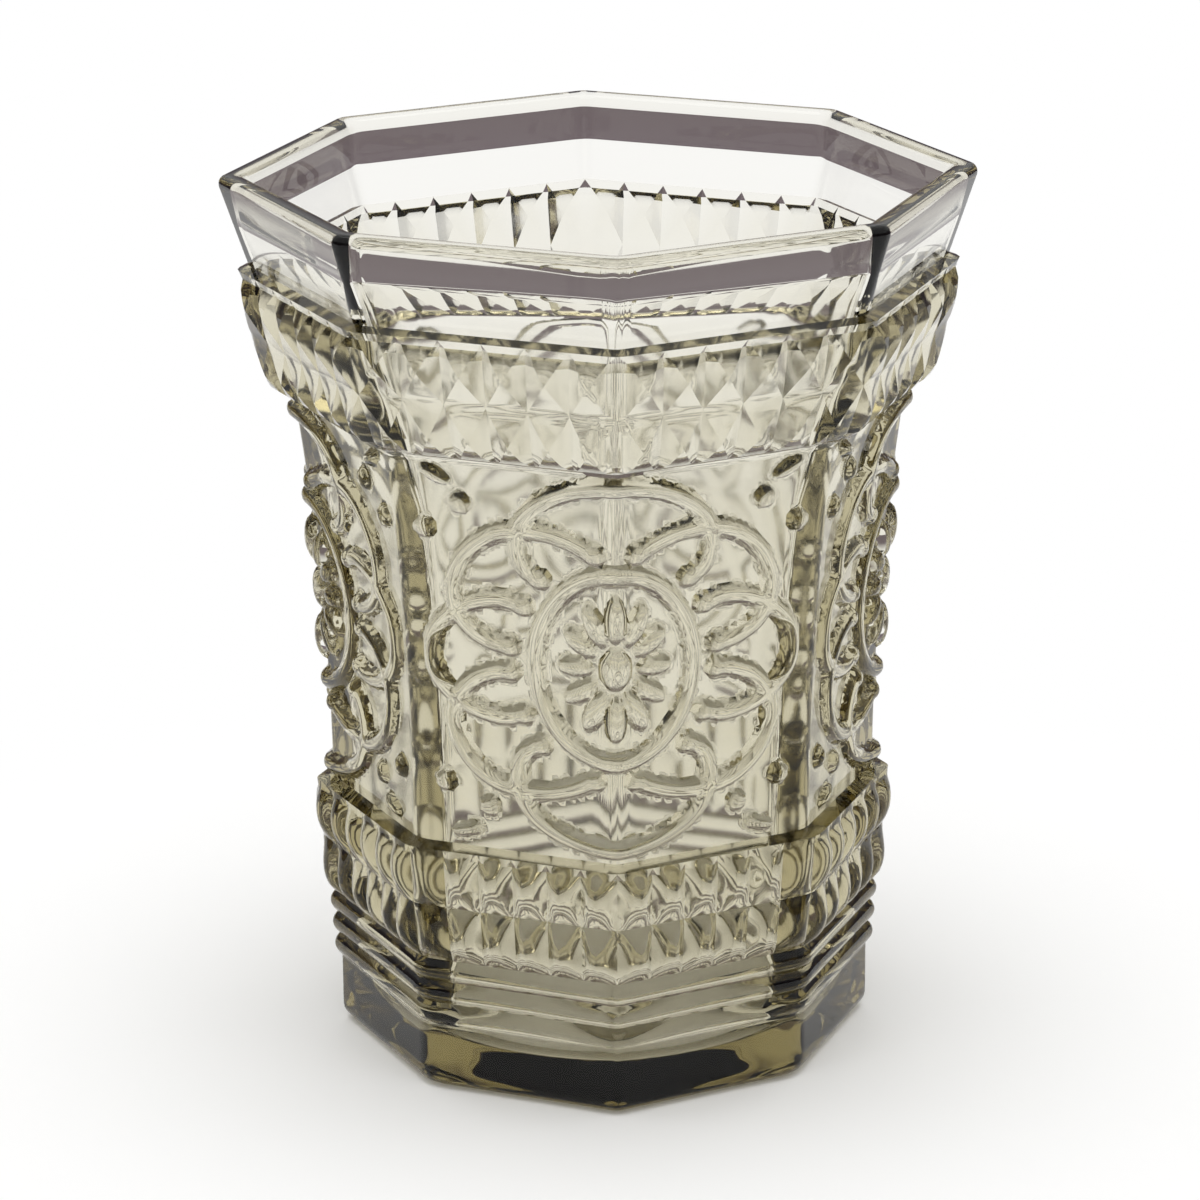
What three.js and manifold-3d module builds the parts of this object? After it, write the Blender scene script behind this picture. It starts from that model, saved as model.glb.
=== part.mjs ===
// A pressed-glass tumbler, one piece of glass: an octagonal cup with a reeded foot, two belts
// of pyramids, a flared rim, and a rosette medallion folded over every other corner.
// Millimetres, +Z up, origin at the centre of the base, one medallion towards -Y.
import * as THREE from "three";
import { mergeVertices } from "three/addons/utils/BufferGeometryUtils.js";
import Module from "manifold-3d";

const wasm = await Module();
wasm.setup();

// Plan: a corner with a medallion, then a plain corner set a little inside it, eight in all
const CORNERS = 8;
const PLAIN_CORNER_SETBACK = 0.9;
const MEDALLION_CORNER_ROUND = 1.3;
const PLAIN_CORNER_ROUND = 2.0;
const CORNER_STEPS = 2;
const CURVE_STEPS = 4;

// Foot, with a shallow recess under it so that the glass stands on a ring
const FOOT_CORNER = 32.0;
const FOOT_HEIGHT = 8.2;
const FOOT_FILLET = 1.8;
const STANDING_RING = 6.0;
const RECESS_DEPTH = 0.7;
const RECESS_SLOPE = 1.5;

// Reeds above the foot
const REED_COUNT = 3;
const REED_PITCH = 2.8;
const REED_DEPTH = 0.55;
const REED_TOP_CORNER = 32.6;

// Belts, each two rolls high: upright grooves cut a roll into cells, and a pyramid rises on each cell
const CELLS_PER_FACE = 6;
const CELL_SINK = 0.1;
const BELT_SEAT = 0.4;
const BELT_ROOT = 1.0;
const LOWER_ROW_HEIGHT = 7.2;
const LOWER_BELT_CORNER = 33.75;
const LOWER_ROLL_HEIGHT = 0.5;
const LOWER_PYRAMID_HEIGHT = 1.2;
const UPPER_ROW_HEIGHT = 7.6;
const UPPER_BELT_FOOT_CORNER = 36.6;
const UPPER_BELT_CORNER = 39.5;
const UPPER_ROLL_HEIGHT = 0.8;
const UPPER_PYRAMID_HEIGHT = 1.6;
const LEDGE_HEIGHT = 0.6;

// Plain wall between the belts, just high enough for a medallion
const WALL_FOOT_CORNER = 32.55;
const WALL_TOP_CORNER = 36.0;
const MEDALLION_RADIUS = 21.9;
const MARGIN_BELOW = 1.0;
const MARGIN_ABOVE = 0.1;

// Rim
const RIM_HEIGHT = 11.0;
const RIM_FOOT_CORNER = 40.8;
const RIM_CORNER = 44.5;
const LIP_ROUND = 1.3;

// Cavity: an upright band under the lip, a cone behind the belt, then a wall that follows the outside
const FLOOR_THICKNESS = 3.8;
const FLOOR_FILLET = 3.0;
const WALL_THICKNESS = 3.0;
const LIP_THICKNESS = 3.3;
const BAND_HEIGHT = 5.6;
const CAVITY_MEDALLION_ROUND = 2.0;
const CAVITY_PLAIN_ROUND = 6.0;

// Medallion relief, sunk into the wall by RELIEF_SINK
const RIBBON_WIDTH = 2.4;
const RIBBON_HEIGHT = 0.8;
const RIBBON_CREST = 0.55;
const RING_HALF_WIDTH = 9.6;
const RING_HALF_HEIGHT = 11.4;
const RING_STEPS = 16;
const BOSS_HALF_WIDTH = 2.1;
const BOSS_HALF_HEIGHT = 2.5;
const PETAL_COUNT = 12;
const PETAL_HALF_WIDTH = 1.25;
const PETAL_GAP = 0.5;
const FLOWER_CLEARANCE = 1.4;
const BLOOM_HEIGHT = 1.05;
const BEAD_RADIUS = 1.35;
const BEAD_HEIGHT = 1.0;
const LEAF_HALF_LENGTH = 2.2;
const LEAF_HALF_WIDTH = 0.85;
const RELIEF_SINK = 0.45;
const SWELLING_SIDES = 6;

// Levels, stacked from the table up
const reedFoot = FOOT_HEIGHT;
const lowerFoot = reedFoot + REED_COUNT * REED_PITCH;
const lowerTop = lowerFoot + 2 * LOWER_ROW_HEIGHT;
const medallionReach = MEDALLION_RADIUS + RIBBON_WIDTH / 2;
const wallHeight = MARGIN_BELOW + 2 * medallionReach + MARGIN_ABOVE;
const wallTop = lowerTop + wallHeight;
const wallMiddle = lowerTop + wallHeight / 2;
const medallionCentre = lowerTop + MARGIN_BELOW + medallionReach;
const upperFoot = wallTop + LEDGE_HEIGHT;
const upperTop = upperFoot + 2 * UPPER_ROW_HEIGHT;
const height = upperTop + RIM_HEIGHT;

// A wall this much thinner at its flats is this much smaller at its corners
const flatToCorner = 1 / Math.cos(Math.PI / CORNERS);

// Angle of corner k; even corners carry the medallions
const cornerAngle = (k) => -Math.PI / 2 + (k * 2 * Math.PI) / CORNERS;

// Place of corner k on an octagon whose medallion corners lie at the given radius
function cornerPoint(k, radius, z) {
  const reach = k % 2 === 0 ? radius : Math.max(radius - PLAIN_CORNER_SETBACK, 0);
  return new THREE.Vector3(reach * Math.cos(cornerAngle(k)), reach * Math.sin(cornerAngle(k)), z);
}

// Closed ring of points: the octagon with each corner rounded by a short curve
function octagonRing({ x: radius, y: z }, medallionRound, plainRound) {
  const points = [];
  for (let k = 0; k < CORNERS; k++) {
    const corner = cornerPoint(k, radius, z);
    const reach = (k % 2 === 0 ? medallionRound : plainRound) * Math.tan(Math.PI / CORNERS);
    const [start, end] = [k - 1, k + 1].map((next) => {
      const away = cornerPoint((next + CORNERS) % CORNERS, radius, z).sub(corner);
      return corner.clone().addScaledVector(away.normalize(), reach);
    });
    points.push(...new THREE.QuadraticBezierCurve3(start, corner, end).getPoints(CORNER_STEPS));
  }
  return points;
}

// Closed solid from rings of equally many points, with a pole at each end
function loft(firstPole, rings, lastPole) {
  const around = rings[0].length;
  const points = [firstPole, ...rings.flat(), lastPole];
  const at = (ring, j) => 1 + ring * around + (j % around);
  const index = [];
  for (let j = 0; j < around; j++) {
    index.push(0, at(0, j + 1), at(0, j));
    for (let ring = 0; ring + 1 < rings.length; ring++) {
      index.push(at(ring, j), at(ring, j + 1), at(ring + 1, j + 1));
      index.push(at(ring, j), at(ring + 1, j + 1), at(ring + 1, j));
    }
    index.push(at(rings.length - 1, j), at(rings.length - 1, j + 1), points.length - 1);
  }
  return new THREE.BufferGeometry().setFromPoints(points).setIndex(index);
}

// Outside of the cup, from the middle of the underside up to the lip: corner radius, height
function outerProfile() {
  const ringInside = FOOT_CORNER - STANDING_RING;
  const profile = new THREE.Path();
  profile.moveTo(ringInside - RECESS_SLOPE, RECESS_DEPTH);
  profile.lineTo(ringInside, 0);
  profile.lineTo(FOOT_CORNER - FOOT_FILLET, 0);
  profile.quadraticCurveTo(FOOT_CORNER, 0, FOOT_CORNER, FOOT_FILLET);
  profile.lineTo(FOOT_CORNER, reedFoot);
  const reedStep = (REED_TOP_CORNER - FOOT_CORNER) / REED_COUNT;
  for (let i = 0; i < REED_COUNT; i++) {
    const middle = FOOT_CORNER + (i + 0.5) * reedStep + 2 * REED_DEPTH;
    const top = reedFoot + (i + 1) * REED_PITCH;
    profile.quadraticCurveTo(middle, top - REED_PITCH / 2, FOOT_CORNER + (i + 1) * reedStep, top);
  }
  profile.lineTo(LOWER_BELT_CORNER - BELT_SEAT, lowerFoot + LOWER_ROW_HEIGHT);
  profile.lineTo(WALL_FOOT_CORNER, lowerTop);
  profile.quadraticCurveTo(WALL_FOOT_CORNER, wallMiddle, WALL_TOP_CORNER, wallTop);
  profile.lineTo(UPPER_BELT_FOOT_CORNER, upperFoot);
  profile.lineTo(UPPER_BELT_CORNER - BELT_SEAT, upperFoot + UPPER_ROW_HEIGHT);
  profile.lineTo(RIM_FOOT_CORNER, upperTop);
  const lipFlare = (LIP_ROUND * (RIM_CORNER - RIM_FOOT_CORNER)) / RIM_HEIGHT;
  profile.lineTo(RIM_CORNER - lipFlare, height - LIP_ROUND);
  profile.quadraticCurveTo(RIM_CORNER, height, RIM_CORNER - LIP_ROUND, height);
  return profile.getPoints(CURVE_STEPS);
}

// Inside of the cup, from the lip down to the floor: below the cone it follows the outside a wall away
function cavityProfile() {
  const wall = WALL_THICKNESS * flatToCorner;
  const bandCorner = RIM_CORNER - LIP_THICKNESS * flatToCorner;
  const wallFoot = WALL_FOOT_CORNER - wall;
  const floorCorner = FOOT_CORNER - wall;
  const profile = new THREE.Path();
  profile.moveTo(bandCorner + LIP_ROUND, height);
  profile.quadraticCurveTo(bandCorner, height, bandCorner, height - LIP_ROUND);
  profile.lineTo(bandCorner, height - BAND_HEIGHT);
  profile.lineTo(WALL_TOP_CORNER - wall, wallTop);
  profile.quadraticCurveTo(wallFoot, wallMiddle, wallFoot, lowerTop);
  profile.lineTo(floorCorner, FLOOR_THICKNESS + FLOOR_FILLET);
  profile.quadraticCurveTo(floorCorner, FLOOR_THICKNESS, floorCorner - FLOOR_FILLET, FLOOR_THICKNESS);
  return profile.getPoints(CURVE_STEPS);
}

// The plain cup: rounded octagons carried along the outside and back down the inside
function cup() {
  const outerRing = (point) => octagonRing(point, MEDALLION_CORNER_ROUND, PLAIN_CORNER_ROUND);
  const innerRing = (point) => octagonRing(point, CAVITY_MEDALLION_ROUND, CAVITY_PLAIN_ROUND);
  const outside = outerProfile().map(outerRing);
  const inside = cavityProfile().map(innerRing);
  const underside = new THREE.Vector3(0, 0, RECESS_DEPTH);
  const floor = new THREE.Vector3(0, 0, FLOOR_THICKNESS);
  return loft(underside, [...outside, ...inside], floor);
}

// Points round an octagon, one at each corner of a row of cells
function cellRing(radius, z) {
  const points = [];
  for (let k = 0; k < CORNERS; k++) {
    for (let cell = 0; cell < CELLS_PER_FACE; cell++) {
      const next = cornerPoint((k + 1) % CORNERS, radius, z);
      points.push(cornerPoint(k, radius, z).lerp(next, cell / CELLS_PER_FACE));
    }
  }
  return points;
}

// Middle of a set of points
function middleOf(points) {
  return points.reduce((sum, point) => sum.addScaledVector(point, 1 / points.length), new THREE.Vector3());
}

// Apex over a cell with these four corners
function apexOver(corners, rise) {
  const [lowLeft, lowRight, , highLeft] = corners;
  const outward = lowRight.clone().sub(lowLeft).cross(highLeft.clone().sub(lowLeft)).normalize();
  return middleOf(corners).addScaledVector(outward, rise);
}

// Where the upright grooves cross the top of a roll, half way between two levels
function grooveRing([lowRadius, lowZ], [highRadius, highZ], rise) {
  const ring = cellRing((lowRadius + highRadius) / 2, (lowZ + highZ) / 2);
  return ring.map((point, j) => {
    const k = j / CELLS_PER_FACE;
    const onCorner = Number.isInteger(k);
    const angle = cornerAngle(onCorner ? k : Math.floor(k) + 0.5);
    const reach = onCorner ? rise * flatToCorner : rise;
    return point.add(new THREE.Vector3(reach * Math.cos(angle), reach * Math.sin(angle), 0));
  });
}

// Belt as a closed ring round the cup: levels are [corner radius, height] from the foot up, a roll of
// cells lies between each two, and the back of the belt is buried in the wall
function belt(levels, rollRise, pyramidRise) {
  const back = [levels.at(-1), levels[0]].map(([radius, z]) => [radius - BELT_ROOT, z]);
  const rings = [...levels, ...back].map(([radius, z]) => cellRing(radius, z));
  const around = rings[0].length;
  const points = rings.flat();
  const at = (ring, j) => (ring % rings.length) * around + (j % around);
  const cellAt = (ring, j) => [at(ring, j), at(ring, j + 1), at(ring + 1, j + 1), at(ring + 1, j)];
  const index = [];
  for (let row = 0; row + 1 < levels.length; row++) {
    const groove = points.length;
    points.push(...grooveRing(levels[row], levels[row + 1], rollRise));
    for (let j = 0; j < around; j++) {
      const [lowLeft, lowRight, highRight, highLeft] = cellAt(row, j);
      const corners = cellAt(row, j).map((i) => points[i]);
      const apex = points.push(apexOver(corners, rollRise + pyramidRise)) - 1;
      const edge = [lowLeft, lowRight, groove + ((j + 1) % around), highRight, highLeft, groove + j];
      edge.forEach((corner, side) => index.push(corner, edge[(side + 1) % edge.length], apex));
    }
  }
  for (let ring = levels.length - 1; ring < rings.length; ring++) {
    for (let j = 0; j < around; j++) {
      const [lowLeft, lowRight, highRight, highLeft] = cellAt(ring, j);
      index.push(lowLeft, lowRight, highRight, lowLeft, highRight, highLeft);
    }
  }
  return new THREE.BufferGeometry().setFromPoints(points).setIndex(index);
}

// Corner radius of the plain wall at a height, the same curve as in the outer profile
function wallCorner(z) {
  const share = (z - lowerTop) / wallHeight;
  return WALL_FOOT_CORNER + (WALL_TOP_CORNER - WALL_FOOT_CORNER) * share * share;
}

// Folds a flat relief over corner k: u across, v up from the medallion's centre, h out of the wall
function fold(geometry, k) {
  const position = geometry.getAttribute("position");
  for (let i = 0; i < position.count; i++) {
    const [u, v, h] = [position.getX(i), position.getY(i), position.getZ(i)];
    const z = medallionCentre + v;
    const corner = cornerPoint(k, wallCorner(z), z);
    if (Math.abs(u) < RELIEF_SINK / 10) {
      corner.add(corner.clone().setZ(0).setLength(Math.abs(h) * flatToCorner).multiplyScalar(Math.sign(h)));
    } else {
      const next = (k + Math.sign(u) + CORNERS) % CORNERS;
      const along = cornerPoint(next, wallCorner(z), z).sub(corner).normalize();
      const outward = new THREE.Vector3(along.y, -along.x, 0).multiplyScalar(Math.sign(u));
      corner.addScaledVector(along, Math.abs(u)).addScaledVector(outward, h);
    }
    position.setXYZ(i, corner.x, corner.y, corner.z);
  }
  return geometry;
}

// Flat ribbon along a curve, with a crest narrower than its foot
function ribbon(curve, steps) {
  const [foot, crest] = [RIBBON_WIDTH / 2, (RIBBON_CREST * RIBBON_WIDTH) / 2];
  const section = [
    [-foot, -RELIEF_SINK],
    [foot, -RELIEF_SINK],
    [crest, RIBBON_HEIGHT],
    [-crest, RIBBON_HEIGHT],
  ];
  const rings = [];
  for (let i = 0; i <= steps; i++) {
    const centre = curve.getPointAt(i / steps);
    const tangent = curve.getTangentAt(i / steps);
    const side = new THREE.Vector3(-tangent.y, tangent.x, 0);
    rings.push(section.map(([across, up]) => centre.clone().addScaledVector(side, across).setZ(up)));
  }
  if (curve.closed) {
    return closedTube(rings.slice(0, -1));
  }
  return loft(middleOf(rings[0]), rings, middleOf(rings.at(-1)));
}

// Closed solid from rings that run round into themselves
function closedTube(rings) {
  const around = rings[0].length;
  const at = (ring, j) => (ring % rings.length) * around + (j % around);
  const index = [];
  for (let ring = 0; ring < rings.length; ring++) {
    for (let j = 0; j < around; j++) {
      index.push(at(ring, j), at(ring, j + 1), at(ring + 1, j + 1));
      index.push(at(ring, j), at(ring + 1, j + 1), at(ring + 1, j));
    }
  }
  return new THREE.BufferGeometry().setFromPoints(rings.flat()).setIndex(index);
}

// Rounded boss, petal, bead or leaf: half an ellipsoid showing above the wall
function swelling(u, v, halfU, halfV, rise, turn = 0) {
  return new THREE.SphereGeometry(1, SWELLING_SIDES, 2)
    .rotateX(Math.PI / 2)
    .scale(halfU, halfV, rise)
    .rotateZ(turn)
    .translate(u, v, 0);
}

// Scrolls of one quarter, as points on a medallion of radius 1; each C curls in at both ends
const ARCH_HALF = [[0.405, 0.455], [0.5, 0.53], [0.525, 0.67], [0.45, 0.84], [0.25, 0.955], [0, 1]];
const SHOULDER = [
  [0.11, 0.62], [0.27, 0.685], [0.53, 0.715], [0.77, 0.6], [0.885, 0.385], [0.82, 0.18], [0.57, 0.07],
];
const EAR_HALF = [[0.495, 0.3], [0.64, 0.325], [0.8, 0.285], [0.93, 0.185], [1, 0]];
const ARCH_STEPS = 10;
const SHOULDER_STEPS = 7;
const EAR_STEPS = 6;

// Beads and leaves that fill the spandrels, on the same medallion of radius 1
const UPPER_BEADS = [[0.845, 0.825], [1.045, 0.675]];
const LOWER_BEADS = [[0.695, -0.83], [0.935, -0.72]];
const UPPER_LEAF = { at: [0.98, 0.975], turn: Math.PI / 7 };
const LOWER_LEAF = { at: [0.82, -0.98], turn: -Math.PI / 12 };

// The same points on the other side of the vertical or the level axis
const mirrorU = (points) => points.map(([u, v]) => [-u, v]);
const mirrorV = (points) => points.map(([u, v]) => [u, -v]);

function scroll(points, steps) {
  const placed = points.map(([u, v]) => new THREE.Vector3(u, v, 0).multiplyScalar(MEDALLION_RADIUS));
  return ribbon(new THREE.CatmullRomCurve3(placed), steps);
}

function scrolls() {
  const arch = [...ARCH_HALF, ...mirrorU(ARCH_HALF.slice(0, -1)).reverse()];
  const ear = [...EAR_HALF, ...mirrorV(EAR_HALF.slice(0, -1)).reverse()];
  const shoulders = [SHOULDER, mirrorU(SHOULDER), mirrorV(SHOULDER), mirrorU(mirrorV(SHOULDER))];
  return [
    ...[arch, mirrorV(arch)].map((points) => scroll(points, ARCH_STEPS)),
    ...[ear, mirrorU(ear)].map((points) => scroll(points, EAR_STEPS)),
    ...shoulders.map((points) => scroll(points, SHOULDER_STEPS)),
  ];
}

// Oval ring with the flower inside it
function rosette() {
  const oval = new THREE.EllipseCurve(0, 0, RING_HALF_WIDTH, RING_HALF_HEIGHT);
  const ovalPoints = oval.getPoints(RING_STEPS).slice(0, -1);
  const ringPoints = ovalPoints.map(({ x, y }) => new THREE.Vector3(x, y, 0));
  const ringCurve = new THREE.CatmullRomCurve3(ringPoints, true);
  const pieces = [
    ribbon(ringCurve, RING_STEPS),
    swelling(0, 0, BOSS_HALF_WIDTH, BOSS_HALF_HEIGHT, BLOOM_HEIGHT),
  ];
  const inner = [BOSS_HALF_WIDTH + PETAL_GAP, BOSS_HALF_HEIGHT + PETAL_GAP];
  const ringInside = RIBBON_WIDTH / 2 + FLOWER_CLEARANCE;
  const outer = [RING_HALF_WIDTH - ringInside, RING_HALF_HEIGHT - ringInside];
  for (let i = 0; i < PETAL_COUNT; i++) {
    const angle = (i * 2 * Math.PI) / PETAL_COUNT;
    const ray = new THREE.Vector2(Math.cos(angle), Math.sin(angle));
    const [from, to] = [inner, outer].map(([a, b]) => ray.clone().multiply(new THREE.Vector2(a, b)));
    const { x: u, y: v } = from.clone().add(to).multiplyScalar(0.5);
    const reach = to.sub(from);
    pieces.push(swelling(u, v, reach.length() / 2, PETAL_HALF_WIDTH, BLOOM_HEIGHT, reach.angle()));
  }
  return pieces;
}

function spandrels() {
  const beads = [...UPPER_BEADS, ...LOWER_BEADS];
  const pieces = [];
  for (const side of [-1, 1]) {
    for (const [u, v] of beads) {
      const [x, y] = [side * u * MEDALLION_RADIUS, v * MEDALLION_RADIUS];
      pieces.push(swelling(x, y, BEAD_RADIUS, BEAD_RADIUS, BEAD_HEIGHT));
    }
    for (const { at: [u, v], turn } of [UPPER_LEAF, LOWER_LEAF]) {
      const [x, y] = [side * u * MEDALLION_RADIUS, v * MEDALLION_RADIUS];
      pieces.push(swelling(x, y, LEAF_HALF_LENGTH, LEAF_HALF_WIDTH, BEAD_HEIGHT, side * turn));
    }
  }
  return pieces;
}

// A medallion on every other corner
function medallions() {
  const pieces = [];
  for (let k = 0; k < CORNERS; k += 2) {
    const flat = [...scrolls(), ...rosette(), ...spandrels()];
    pieces.push(...flat.map((geometry) => fold(geometry, k)));
  }
  return pieces;
}

// Closed three.js geometry to a solid that can be joined
function solid(geometry) {
  const bare = geometry.clone();
  bare.deleteAttribute("normal");
  bare.deleteAttribute("uv");
  const merged = mergeVertices(bare);
  const vertProperties = merged.getAttribute("position").array;
  const triVerts = Uint32Array.from(merged.getIndex().array);
  return new wasm.Manifold(new wasm.Mesh({ numProp: 3, vertProperties, triVerts }));
}

// One body out of the cup and everything pressed into its outside
function join(geometries) {
  const mesh = geometries.map(solid).reduce((whole, piece) => whole.add(piece)).getMesh();
  const geometry = new THREE.BufferGeometry();
  geometry.setAttribute("position", new THREE.BufferAttribute(mesh.vertProperties, 3));
  geometry.setIndex(new THREE.BufferAttribute(mesh.triVerts, 1));
  geometry.computeVertexNormals();
  return geometry;
}

const lowerBelt = belt([
  [REED_TOP_CORNER - CELL_SINK, lowerFoot],
  [LOWER_BELT_CORNER, lowerFoot + LOWER_ROW_HEIGHT],
  [WALL_FOOT_CORNER - CELL_SINK, lowerTop],
], LOWER_ROLL_HEIGHT, LOWER_PYRAMID_HEIGHT);
const upperBelt = belt([
  [UPPER_BELT_FOOT_CORNER - CELL_SINK, upperFoot],
  [UPPER_BELT_CORNER, upperFoot + UPPER_ROW_HEIGHT],
  [RIM_FOOT_CORNER - CELL_SINK, upperTop],
], UPPER_ROLL_HEIGHT, UPPER_PYRAMID_HEIGHT);

const smokedGlass = new THREE.MeshStandardMaterial({ color: 0xb9b99a, roughness: 0.03, metalness: 0 });
const tumbler = new THREE.Mesh(join([cup(), lowerBelt, upperBelt, ...medallions()]), smokedGlass);
tumbler.name = "tumbler";

const group = new THREE.Group();
group.add(tumbler);
export default group;
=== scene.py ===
# %% [markdown]
# # A pressed-glass tumbler
# The real object is one piece of smoky olive-grey glass, pressed in a mould: an octagonal cup with
# a reeded foot, two belts of small raised cells, a rosette medallion folded over every other
# corner and a plain flared rim. It could be modelled by hand with bevels and subdivision, but its
# forms follow a few rules, so each band is worked out as a grid of points, and the bands become
# one closed mesh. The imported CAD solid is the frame, and everything here is in metres around it.

import math

import bpy
import numpy as np
from mathutils import Matrix, Vector


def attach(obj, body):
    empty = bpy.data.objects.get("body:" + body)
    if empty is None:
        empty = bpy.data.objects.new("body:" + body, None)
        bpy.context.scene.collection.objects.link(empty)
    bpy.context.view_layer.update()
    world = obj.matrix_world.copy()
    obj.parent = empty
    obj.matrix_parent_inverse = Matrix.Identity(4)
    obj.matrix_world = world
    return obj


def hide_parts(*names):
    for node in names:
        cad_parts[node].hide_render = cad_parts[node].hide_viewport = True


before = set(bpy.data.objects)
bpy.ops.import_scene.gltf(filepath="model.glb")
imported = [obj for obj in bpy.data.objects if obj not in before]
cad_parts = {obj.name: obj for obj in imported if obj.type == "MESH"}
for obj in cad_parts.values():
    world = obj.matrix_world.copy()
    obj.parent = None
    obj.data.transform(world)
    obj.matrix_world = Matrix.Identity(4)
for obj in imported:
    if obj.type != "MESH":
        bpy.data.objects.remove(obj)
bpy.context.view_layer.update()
print("frame nodes:", sorted(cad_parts))

# %% [markdown]
# ## The plan
# Seen from above the glass is an octagon. Four corners carry a medallion, and the four plain ones
# between them lie a little further in. A bevel would give every corner the same round, so the plan
# is a formula instead: a face is a straight line between two corners, and each corner is an arc of
# its own radius that touches both of its faces. Everything on the glass is told in millimetres
# here, and made metres when the mesh is written.

# %% Octagon with rounded corners
MM = 0.001
EIGHTH = math.pi / 4
SETBACK = 0.9


def face_line(reach):
    """The straight line of a face, from its medallion corner on the x axis to its plain corner.

    The plain corner lies an eighth of a turn round, and further in by the setback. Returns its x
    and y, the length of the line and the angle of the line's outward normal."""
    end_x, end_y = (reach - SETBACK) * math.cos(EIGHTH), (reach - SETBACK) * math.sin(EIGHTH)
    return end_x, end_y, np.hypot(end_x - reach, end_y), np.arctan2(reach - end_x, end_y)


def face_plan(reach, share, round_medallion, round_plain):
    """One face, from its medallion corner at share 0 to its plain corner at share 1.

    The point runs along the straight line between the two corners. Closer to a corner than the
    place where its arc touches the line, the point runs along that arc instead, at a steady pace.
    Returns x, y and the angle of the outward normal."""
    end_x, end_y, length, lean = face_line(reach)
    along = share * length
    touch_start = round_medallion * np.tan(lean)
    touch_end = round_plain * np.tan(EIGHTH - lean)
    at_start = along < touch_start
    at_end = along > length - touch_end
    angle = np.where(at_start, lean * along / touch_start, lean)
    angle = np.where(at_end, EIGHTH - (EIGHTH - lean) * (length - along) / touch_end, angle)
    start_hub = reach - round_medallion / np.cos(lean)
    end_hub = reach - SETBACK - round_plain / np.cos(EIGHTH - lean)
    x = np.where(at_start, start_hub + round_medallion * np.cos(angle),
                 reach + (end_x - reach) * share)
    y = np.where(at_start, round_medallion * np.sin(angle), end_y * share)
    x = np.where(at_end, end_hub * math.cos(EIGHTH) + round_plain * np.cos(angle), x)
    y = np.where(at_end, end_hub * math.sin(EIGHTH) + round_plain * np.sin(angle), y)
    return x, y, angle


print("plain corners lie", SETBACK, "mm further in than medallion corners")

# %% [markdown]
# ## Rings round the glass
# Every band of the glass is a stack of rings on that plan. A quarter of a ring is one medallion
# corner with a face on either side, and turning it four times closes the ring. Steps are even
# where ornament needs them, and crowd at the corners where only the corners are curved.

# %% Rings of points
CORNER_CROWD = 0.8


def even_shares(count):
    """Shares of a face from one plain corner to the next across a medallion: -1 to just below 1."""
    return np.arange(-count, count) / count


def crowded_shares(count, crowd=CORNER_CROWD):
    """The same, with the steps drawn in towards the corners by a sine."""
    even = even_shares(count)
    return even - crowd * np.sin(2 * math.pi * even) / (2 * math.pi)


def rings(reach, height, shares, round_medallion, round_plain, lift=0.0, tilt=0.0):
    """Rings of points round the glass, one row for each reach and height.

    The face on one side of the medallion corner is the mirror image of the other. Lift moves a
    point along the outward normal, which tilt turns downwards. The quarter is turned four times."""
    column = [np.atleast_1d(np.asarray(value, float))[:, None]
              for value in (reach, height, round_medallion, round_plain, tilt)]
    reach, height, round_medallion, round_plain, tilt = column
    side = np.sign(shares)
    x, y, angle = face_plan(reach, np.abs(shares)[None], round_medallion, round_plain)
    y, angle = y * side, angle * side
    x = x + lift * np.cos(tilt) * np.cos(angle)
    y = y + lift * np.cos(tilt) * np.sin(angle)
    z = height - lift * np.sin(tilt) + 0 * x
    quarters = []
    for turn in np.arange(4) * math.pi / 2 - math.pi / 2:
        turned_x = x * math.cos(turn) - y * math.sin(turn)
        turned_y = x * math.sin(turn) + y * math.cos(turn)
        quarters.append(np.stack([turned_x, turned_y, z], axis=-1))
    return np.concatenate(quarters, axis=1)


print("a ring is four quarters, the first with its medallion towards -Y")

# %% [markdown]
# ## Foot and reeds
# The foot is a plain band on a rounded edge. Under it a shallow recess leaves a ring for the glass
# to stand on. Above it three reeds run round the glass, each one a low arch with sharp valleys.
# All of it is one profile carried round the octagon, row by row, which needs no bevels or loop
# cuts.

# %% Foot and reeds
LIP_HEIGHT = 105.1
FINE = 72
MIDDLE = FINE // 2
COARSE = MIDDLE // 2
MEDALLION_ROUND = 1.3
FOOT_PLAIN_ROUND = 5.0
RIM_PLAIN_ROUND = 2.0
FOOT_REACH = 32.0
FOOT_TOP = 8.2
FOOT_FILLET = 1.8
FOOT_ARC_STEPS = 5
EDGE_ROW = 1.2
VALLEY_ROW = 0.4
RECESS_RING = 8.0
RECESS_REACH = 18.0
RECESS_SLOPE = 1.5
RECESS_DEPTH = 0.7
STANDING_RING = 25.0
UNDERSIDE_ROUND = 1 / 8
REED_COUNT = 3
REED_PITCH = 2.8
REED_RISE = 0.75
REED_STEPS = 8
REED_TOP_REACH = 32.6


def plain_round(height):
    """Radius of the plain corners, shrinking evenly from the foot to the rim."""
    shrink = RIM_PLAIN_ROUND - FOOT_PLAIN_ROUND
    return FOOT_PLAIN_ROUND + shrink * np.asarray(height) / LIP_HEIGHT


def quarter_arc(steps):
    """Sine and cosine along a quarter circle, both ends included."""
    angle = np.linspace(0, math.pi / 2, steps + 1)
    return np.sin(angle), np.cos(angle)


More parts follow.
